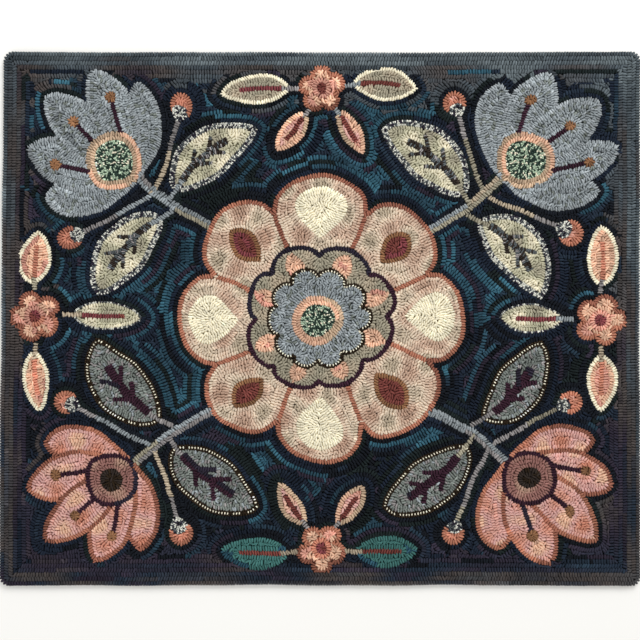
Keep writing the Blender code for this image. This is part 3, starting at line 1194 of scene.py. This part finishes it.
class RUG_OT_edge(bpy.types.Operator):
    """Hook the rows along the rug's edge, which are kept straighter than the rest"""

    bl_idname = "rug.edge"
    bl_label = "Edge Rows"

    def execute(self, context):
        hook_piece(context.scene, "edge_loops", "dyed_wool_flannel", GROUND_SECTION)
        hook_piece(context.scene, "rim_loops", "dyed_wool_flannel", ROUND_SECTION, RIM_SLACK)
        return {"FINISHED"}


class RUG_OT_motifs(bpy.types.Operator):
    """Hook the fills of the rosette, petals, leaves and stems"""

    bl_idname = "rug.motifs"
    bl_label = "Motifs"

    def execute(self, context):
        for name in ("rosette_loops", "petal_loops", "cream_loops", "leaf_loops"):
            hook_piece(context.scene, name, "spot_dyed_wool_flannel")
        hook_piece(context.scene, "tweed_loops", "tweed_wool")
        return {"FINISHED"}


class RUG_OT_outlines(bpy.types.Operator):
    """Hook the outlines, beaded lines, veins and dark accents"""

    bl_idname = "rug.outlines"
    bl_label = "Outlines and Veins"

    def execute(self, context):
        for name in ("rust_loops", "accent_loops"):
            hook_piece(context.scene, name, "dyed_wool_flannel")
        hook_piece(context.scene, "bead_loops", "boucle_wool_yarn", GROUND_SECTION)
        return {"FINISHED"}


class RUG_OT_foundation(bpy.types.Operator):
    """Lay the linen with its rolled hem under the loops, as one cloth with them"""

    bl_idname = "rug.foundation"
    bl_label = "Linen Foundation"

    def execute(self, context):
        scene = context.scene
        work = hooked_loops(scene)
        tree = KDTree(len(work["loops"]))
        for at, loop in enumerate(work["loops"]):
            tree.insert((loop.x, loop.y, 0.0), at)
        tree.balance()
        mesh = linen_mesh(scene.rug_sizes.linen_height / MM)
        colours = np.empty((len(mesh.vertices), 3))
        for at, vertex in enumerate(mesh.vertices):
            if vertex.co.z > 0.9 * scene.rug_sizes.linen_height:
                near = tree.find((vertex.co.x / MM, vertex.co.y / MM, 0.0))[1]
                # painted shade: the linen's upper face takes a darkened share of the nearest loop's dye; the
                # underside and hem keep the linen's own colour
                colours[at] = LINEN_GAP_SHADE * work["colours"][near]
            else:
                colours[at] = scene.rug_dyes.linen
        add_dye_and_shade(mesh, colours)
        linen = add_piece(scene, "linen_foundation", mesh, linen_material())
        return {"FINISHED"}


FLOOR_HALF = 30.0  # metres
FLOOR_GAP = 0.0003  # metres that the floor lies under the rug
LIGHTS = (
    {"name": "key_softbox", "place": (0.9, 1.9, 2.0), "size": 1.5, "power": 60.0},
    {"name": "fill_softbox", "place": (-1.8, -0.8, 2.2), "size": 2.0, "power": 16.0},
)
FRAME_PIXELS, RUG_PIXELS = 640.0, 639.0  # the picture's width, and the rug's width in it
RUG_RAISED = 1.2  # pixels that the rug's middle lies over the picture's
LENS, SENSOR = 50.0, 36.0  # millimetres
WORLD_STRENGTH = 0.65


class RUG_OT_stage(bpy.types.Operator):
    """Set the floor, the light and the camera"""

    bl_idname = "rug.stage"
    bl_label = "Floor, Light and Camera"

    def execute(self, context):
        scene = context.scene
        sides = ((-1, -1), (1, -1), (1, 1), (-1, 1))
        corners = [(x * FLOOR_HALF, y * FLOOR_HALF, -FLOOR_GAP) for x, y in sides]
        floor_mesh = bpy.data.meshes.new("floor")
        floor_mesh.from_pydata(corners, [], [(0, 1, 2, 3)])
        floor = bpy.data.objects.new("floor", floor_mesh)
        scene.collection.objects.link(floor)
        material, _, shader = new_material("painted_floor")
        shader.inputs["Base Color"].default_value = tuple(scene.rug_dyes.floor) + (1.0,)
        shader.inputs["Roughness"].default_value = 0.8
        floor_mesh.materials.append(material)

        scene.world = bpy.data.worlds.new("studio")
        scene.world.use_nodes = True
        background = scene.world.node_tree.nodes["Background"]
        background.inputs["Color"].default_value = (1.0, 1.0, 1.0, 1.0)
        background.inputs["Strength"].default_value = WORLD_STRENGTH
        for row in LIGHTS:
            data = bpy.data.lights.new(row["name"], "AREA")
            data.size = row["size"]
            data.energy = row["power"]
            light = bpy.data.objects.new(row["name"], data)
            light.location = row["place"]
            light.rotation_euler = (-Vector(row["place"])).to_track_quat("-Z", "Y").to_euler()
            scene.collection.objects.link(light)

        data = bpy.data.cameras.new("camera")
        data.lens = LENS
        data.sensor_width = SENSOR
        camera = bpy.data.objects.new("camera", data)
        frame_width = FRAME_PIXELS / RUG_PIXELS * WIDTH * MM
        height = OUTLINE_HEIGHT * MM + frame_width * LENS / SENSOR
        camera.location = (0.0, -RUG_RAISED * frame_width / FRAME_PIXELS, height)
        scene.collection.objects.link(camera)
        scene.camera = camera
        scene.view_settings.view_transform = "Standard"
        return {"FINISHED"}


class RUG_PT_panel(bpy.types.Panel):
    """Lists the rug's steps and settings"""

    bl_idname = "RUG_PT_panel"
    bl_label = "Hooked Rug"
    bl_space_type = "VIEW_3D"
    bl_region_type = "UI"
    bl_category = "Rug"

    def draw(self, context):
        for step in STEPS:
            self.layout.operator(step.bl_idname)
        for group in (context.scene.rug_sizes, context.scene.rug_dyes):
            for name in group.__annotations__:
                self.layout.prop(group, name)


STEPS = (RUG_OT_ground, RUG_OT_edge, RUG_OT_motifs, RUG_OT_outlines, RUG_OT_foundation, RUG_OT_stage)
CLASSES = (RugDyes, RugSizes) + STEPS + (RUG_PT_panel,)


def register():
    for item in CLASSES:
        bpy.utils.register_class(item)
    bpy.types.Scene.rug_sizes = bpy.props.PointerProperty(type=RugSizes)
    bpy.types.Scene.rug_dyes = bpy.props.PointerProperty(type=RugDyes)


def unregister():
    del bpy.types.Scene.rug_dyes
    del bpy.types.Scene.rug_sizes
    for item in reversed(CLASSES):
        bpy.utils.unregister_class(item)


def main():
    register()
    bpy.ops.rug.ground()
    bpy.ops.rug.edge()
    bpy.ops.rug.motifs()
    bpy.ops.rug.outlines()
    bpy.ops.rug.foundation()
    bpy.ops.rug.stage()


if __name__ == "__main__":
    main()
